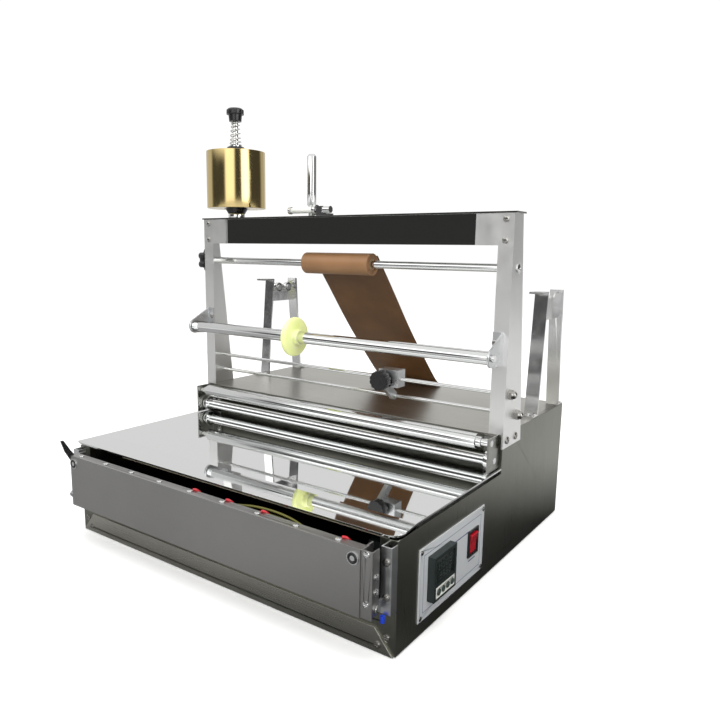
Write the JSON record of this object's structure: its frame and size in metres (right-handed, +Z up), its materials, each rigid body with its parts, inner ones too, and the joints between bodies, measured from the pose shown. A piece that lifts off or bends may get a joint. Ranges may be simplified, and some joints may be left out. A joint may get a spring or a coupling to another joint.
{
  "type": "film overwrapping machine",
  "caption": "Bench-top machine with a mirror hot plate, a hinged heated flap, a roller frame, a tape reel and roll stands for overwrapping boxes in film.",
  "frame": {"origin": "on the table, under the centre of the bounding box of the whole machine", "axes": "+X to the operator's right along the rollers, +Y away from the operator, +Z up"},
  "size_m": [0.5336, 0.504, 0.5848],
  "materials": {
    "brushed_steel": "brushed",
    "deck_steel": "fine brushed",
    "mirror_steel": "mirror polished",
    "dark_mirror": "polished",
    "frame_steel": "satin",
    "chrome": "polished",
    "aluminium": "satin",
    "heater_sheath": "satin",
    "insulation": "matte",
    "panel_plate": "satin",
    "dark_plastic": "satin",
    "black_plastic": "satin",
    "red_plastic": "gloss",
    "key_plastic": "satin",
    "white_plastic": "satin",
    "wire": "satin",
    "cloth": "woven, coated",
    "gold_film": "polished",
    "wheel_nylon": "translucent",
    "rubber": "matte"
  },
  "bodies": {
    "root": {"left_side": "brushed_steel", "right_side": "brushed_steel", "rear_panel": "brushed_steel", "rear_deck": "deck_steel", "bottom_pan": "brushed_steel", "kick_plate": "brushed_steel", "rubber_feet": "rubber", "top_plate": "mirror_steel", "hot_plate": "aluminium", "cartridge_heaters": "heater_sheath", "insulation_board": "insulation", "temperature_probe": "aluminium", "control_panel": "panel_plate", "controller_case": "dark_plastic", "rocker_bezel": "black_plastic", "solid_state_relay": "white_plastic", "terminal_block": "white_plastic", "power_inlet": "black_plastic", "internal_wiring": "wire", "left_upright": "frame_steel", "right_upright": "frame_steel", "crossbar": "dark_mirror", "upper_rod": "chrome", "cloth_strip": "cloth", "idler_brackets": "aluminium", "roller_brackets": "frame_steel", "guide_rods": "chrome", "tape_spindle": "chrome", "tape_guide": "chrome", "left_roll_stand": "aluminium", "right_roll_stand": "aluminium", "hinge_brackets": "aluminium", "hinge_pins": "chrome", "fasteners": "chrome", "tape_spring": "chrome"},
    "flap": {"flap_shell": "brushed_steel", "flap_heater": "aluminium", "flap_screws": "chrome", "flap_handle": "black_plastic"},
    "rocker": {"rocker_button": "red_plastic"},
    "set_key": {"set_button": "key_plastic"},
    "shift_key": {"shift_button": "key_plastic"},
    "down_key": {"down_button": "key_plastic"},
    "up_key": {"up_button": "key_plastic"},
    "roller_up": {"upper_roller": "chrome"},
    "roller_low": {"lower_roller": "chrome"},
    "cloth_core": {"cloth_roll": "cloth"},
    "clamp_knob": {"star_knob": "black_plastic"},
    "idler": {"idler_tube": "chrome"},
    "wheel": {"guide_wheel": "wheel_nylon"},
    "slider": {"guide_block": "aluminium"},
    "slider_knob": {"guide_block_knob": "black_plastic"},
    "reel": {"tape_reel": "gold_film", "tape_cones": "black_plastic"},
    "reel_knob": {"tape_knob": "black_plastic"},
    "guide_sleeve": {"tape_guide_roller": "white_plastic"},
    "bearing_lf": {"bearing_left_front": "chrome"},
    "bearing_lr": {"bearing_left_rear": "chrome"},
    "bearing_rf": {"bearing_right_front": "chrome"},
    "bearing_rr": {"bearing_right_rear": "chrome"}
  },
  "joints": [
    {"name": "flap_hinge", "type": "hinge", "parent": "root", "child": "flap", "pos_m": [0.00476, -0.231, 0.0578], "axis": [1, 0, 0], "range_deg": [0, 55]},
    {"name": "rocker_tilt", "type": "hinge", "parent": "root", "child": "rocker", "pos_m": [0.25196, -0.0508, 0.0605], "axis": [0, 1, 0], "range_deg": [-16, 0]},
    {"name": "set_press", "type": "slide", "parent": "root", "child": "set_key", "axis": [-1, 0, 0], "range_m": [0, 0.0008], "stiffness_N_per_m": 300},
    {"name": "shift_press", "type": "slide", "parent": "root", "child": "shift_key", "axis": [-1, 0, 0], "range_m": [0, 0.0008], "stiffness_N_per_m": 300},
    {"name": "down_press", "type": "slide", "parent": "root", "child": "down_key", "axis": [-1, 0, 0], "range_m": [0, 0.0008], "stiffness_N_per_m": 300},
    {"name": "up_press", "type": "slide", "parent": "root", "child": "up_key", "axis": [-1, 0, 0], "range_m": [0, 0.0008], "stiffness_N_per_m": 300},
    {"name": "upper_roller_spin", "type": "hinge", "parent": "root", "child": "roller_up", "pos_m": [0.00476, 0.002, 0.161], "axis": [1, 0, 0], "continuous": true},
    {"name": "lower_roller_spin", "type": "hinge", "parent": "root", "child": "roller_low", "pos_m": [0.00476, 0.0125, 0.1375], "axis": [1, 0, 0], "continuous": true},
    {"name": "cloth_roll_spin", "type": "hinge", "parent": "root", "child": "cloth_core", "pos_m": [0.00476, 0.039, 0.363], "axis": [1, 0, 0], "continuous": true},
    {"name": "star_knob_turn", "type": "hinge", "parent": "root", "child": "clamp_knob", "pos_m": [-0.25524, 0.039, 0.363], "axis": [1, 0, 0], "continuous": true},
    {"name": "idler_spin", "type": "hinge", "parent": "root", "child": "idler", "pos_m": [0.00476, -0.009, 0.263], "axis": [1, 0, 0], "continuous": true},
    {"name": "wheel_slide", "type": "slide", "parent": "idler", "child": "wheel", "axis": [1, 0, 0], "range_m": [-0.18, 0.25]},
    {"name": "block_slide", "type": "slide", "parent": "root", "child": "slider", "axis": [1, 0, 0], "range_m": [-0.29, 0.12]},
    {"name": "block_knob_turn", "type": "hinge", "parent": "slider", "child": "slider_knob", "pos_m": [0.08676, 0.015, 0.214], "axis": [0, 1, 0], "continuous": true},
    {"name": "tape_reel_spin", "type": "hinge", "parent": "root", "child": "reel", "pos_m": [-0.19024, 0.035, 0.483], "axis": [0, 0, 1], "continuous": true},
    {"name": "tape_knob_turn", "type": "hinge", "parent": "root", "child": "reel_knob", "pos_m": [-0.19024, 0.035, 0.575], "axis": [0, 0, 1], "continuous": true},
    {"name": "tape_guide_spin", "type": "hinge", "parent": "root", "child": "guide_sleeve", "pos_m": [-0.05724, 0.03, 0.435], "axis": [1, 0, 0], "continuous": true},
    {"name": "bearing_lf_spin", "type": "hinge", "parent": "root", "child": "bearing_lf", "pos_m": [-0.23174, 0.175, 0.316], "axis": [1, 0, 0], "continuous": true},
    {"name": "bearing_lr_spin", "type": "hinge", "parent": "root", "child": "bearing_lr", "pos_m": [-0.23174, 0.199, 0.316], "axis": [1, 0, 0], "continuous": true},
    {"name": "bearing_rf_spin", "type": "hinge", "parent": "root", "child": "bearing_rf", "pos_m": [0.24126, 0.175, 0.316], "axis": [1, 0, 0], "continuous": true},
    {"name": "bearing_rr_spin", "type": "hinge", "parent": "root", "child": "bearing_rr", "pos_m": [0.24126, 0.199, 0.316], "axis": [1, 0, 0], "continuous": true}
  ]
}
